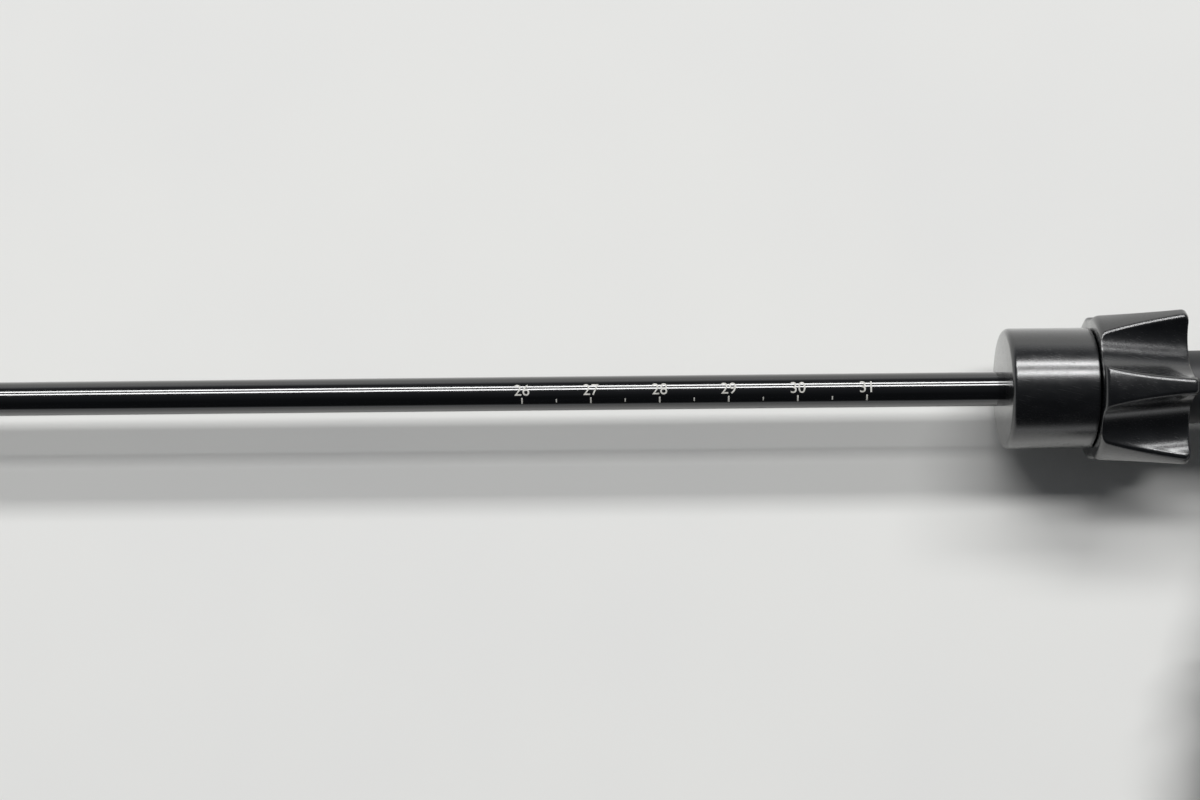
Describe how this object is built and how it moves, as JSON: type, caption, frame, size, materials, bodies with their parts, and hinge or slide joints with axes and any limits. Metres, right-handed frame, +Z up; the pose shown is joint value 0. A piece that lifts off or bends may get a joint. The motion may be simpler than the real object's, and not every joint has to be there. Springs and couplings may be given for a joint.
{
  "type": "grasping forceps",
  "caption": "Keyhole-surgery grasping forceps with a slim insulated shaft, two toothed jaws, a fluted rotation knob and a scissor handle with a ratchet.",
  "frame": {"origin": "on the shaft axis, in the front face of the collar where the insulated shaft comes out", "axes": "+X along the shaft from the jaws to the handle, -Y towards the finger loop, +Z up when the instrument lies on its side"},
  "size_m": [0.433, 0.1295, 0.0248],
  "materials": {
    "collar_black": "satin gloss black plastic",
    "knob_black": "satin gloss black plastic",
    "sleeve_black": "glossy black insulation",
    "handle_black": "satin black glass-filled plastic",
    "neck_black": "glossy black plastic",
    "white_plastic": "white low-friction plastic",
    "black_rubber": "black rubber ring",
    "grey_silicone": "grey silicone seal",
    "stainless": "satin stainless steel",
    "spring_steel": "spring steel",
    "brass": "turned brass",
    "plated_brass": "nickel-plated brass"
  },
  "bodies": {
    "handle": {"fixed_handle": "handle_black", "handle_neck": "neck_black", "neck_bush": "white_plastic", "friction_ring": "black_rubber", "contact_block": "brass", "current_post": "plated_brass", "post_insulator": "neck_black", "neck_pin": "stainless", "pawl_pin": "stainless", "pivot_screw": "stainless", "pivot_nut": "stainless", "pawl_spring": "spring_steel"},
    "insert": {"shaft_hub": "stainless", "collar": "collar_black", "rotation_knob": "knob_black", "insulation_sleeve": "sleeve_black", "shaft_tube": "stainless", "rod_seal": "grey_silicone", "retaining_ring": "spring_steel", "jaw_fork": "stainless", "jaw_pivot_pin": "stainless"},
    "rod": {"drive_rod": "stainless", "cam_pin": "stainless", "rod_ball": "stainless"},
    "upper_jaw": {"upper_jaw": "stainless"},
    "lower_jaw": {"lower_jaw": "stainless"},
    "thumb_lever": {"thumb_lever": "handle_black", "lever_bush": "brass", "ball_socket": "stainless", "socket_pin": "stainless", "ratchet_bar": "stainless", "ratchet_rivets": "stainless"},
    "pawl": {"ratchet_pawl": "stainless"}
  },
  "joints": [
    {"name": "knob_turn", "type": "hinge", "parent": "handle", "child": "insert", "pos_m": [0.0185, 0, 0], "axis": [1, 0, 0], "continuous": true},
    {"name": "thumb_swing", "type": "hinge", "parent": "handle", "child": "thumb_lever", "pos_m": [0.062, -0.009, 0], "axis": [0, 0, 1], "range_deg": [0, 20]},
    {"name": "rod_pull", "type": "slide", "parent": "insert", "child": "rod", "axis": [1, 0, 0], "range_m": [-0.00317, 0]},
    {"name": "upper_jaw_open", "type": "hinge", "parent": "insert", "child": "upper_jaw", "pos_m": [-0.306, 0, 0], "axis": [0, 0, 1], "range_deg": [-26, 0]},
    {"name": "lower_jaw_open", "type": "hinge", "parent": "insert", "child": "lower_jaw", "pos_m": [-0.306, 0, 0], "axis": [0, 0, 1], "range_deg": [0, 26]},
    {"name": "pawl_swing", "type": "hinge", "parent": "handle", "child": "pawl", "pos_m": [0.03889, -0.03967, 0], "axis": [0, 0, 1], "range_deg": [0, 7], "stiffness_Nm_per_rad": 0.02, "springref_deg": 7}
  ],
  "couplings": [
    {"joint": "rod_pull", "follows": "thumb_swing", "m_per_rad": -0.0090925},
    {"joint": "upper_jaw_open", "follows": "thumb_swing", "ratio": -1.3},
    {"joint": "lower_jaw_open", "follows": "thumb_swing", "ratio": 1.3}
  ]
}
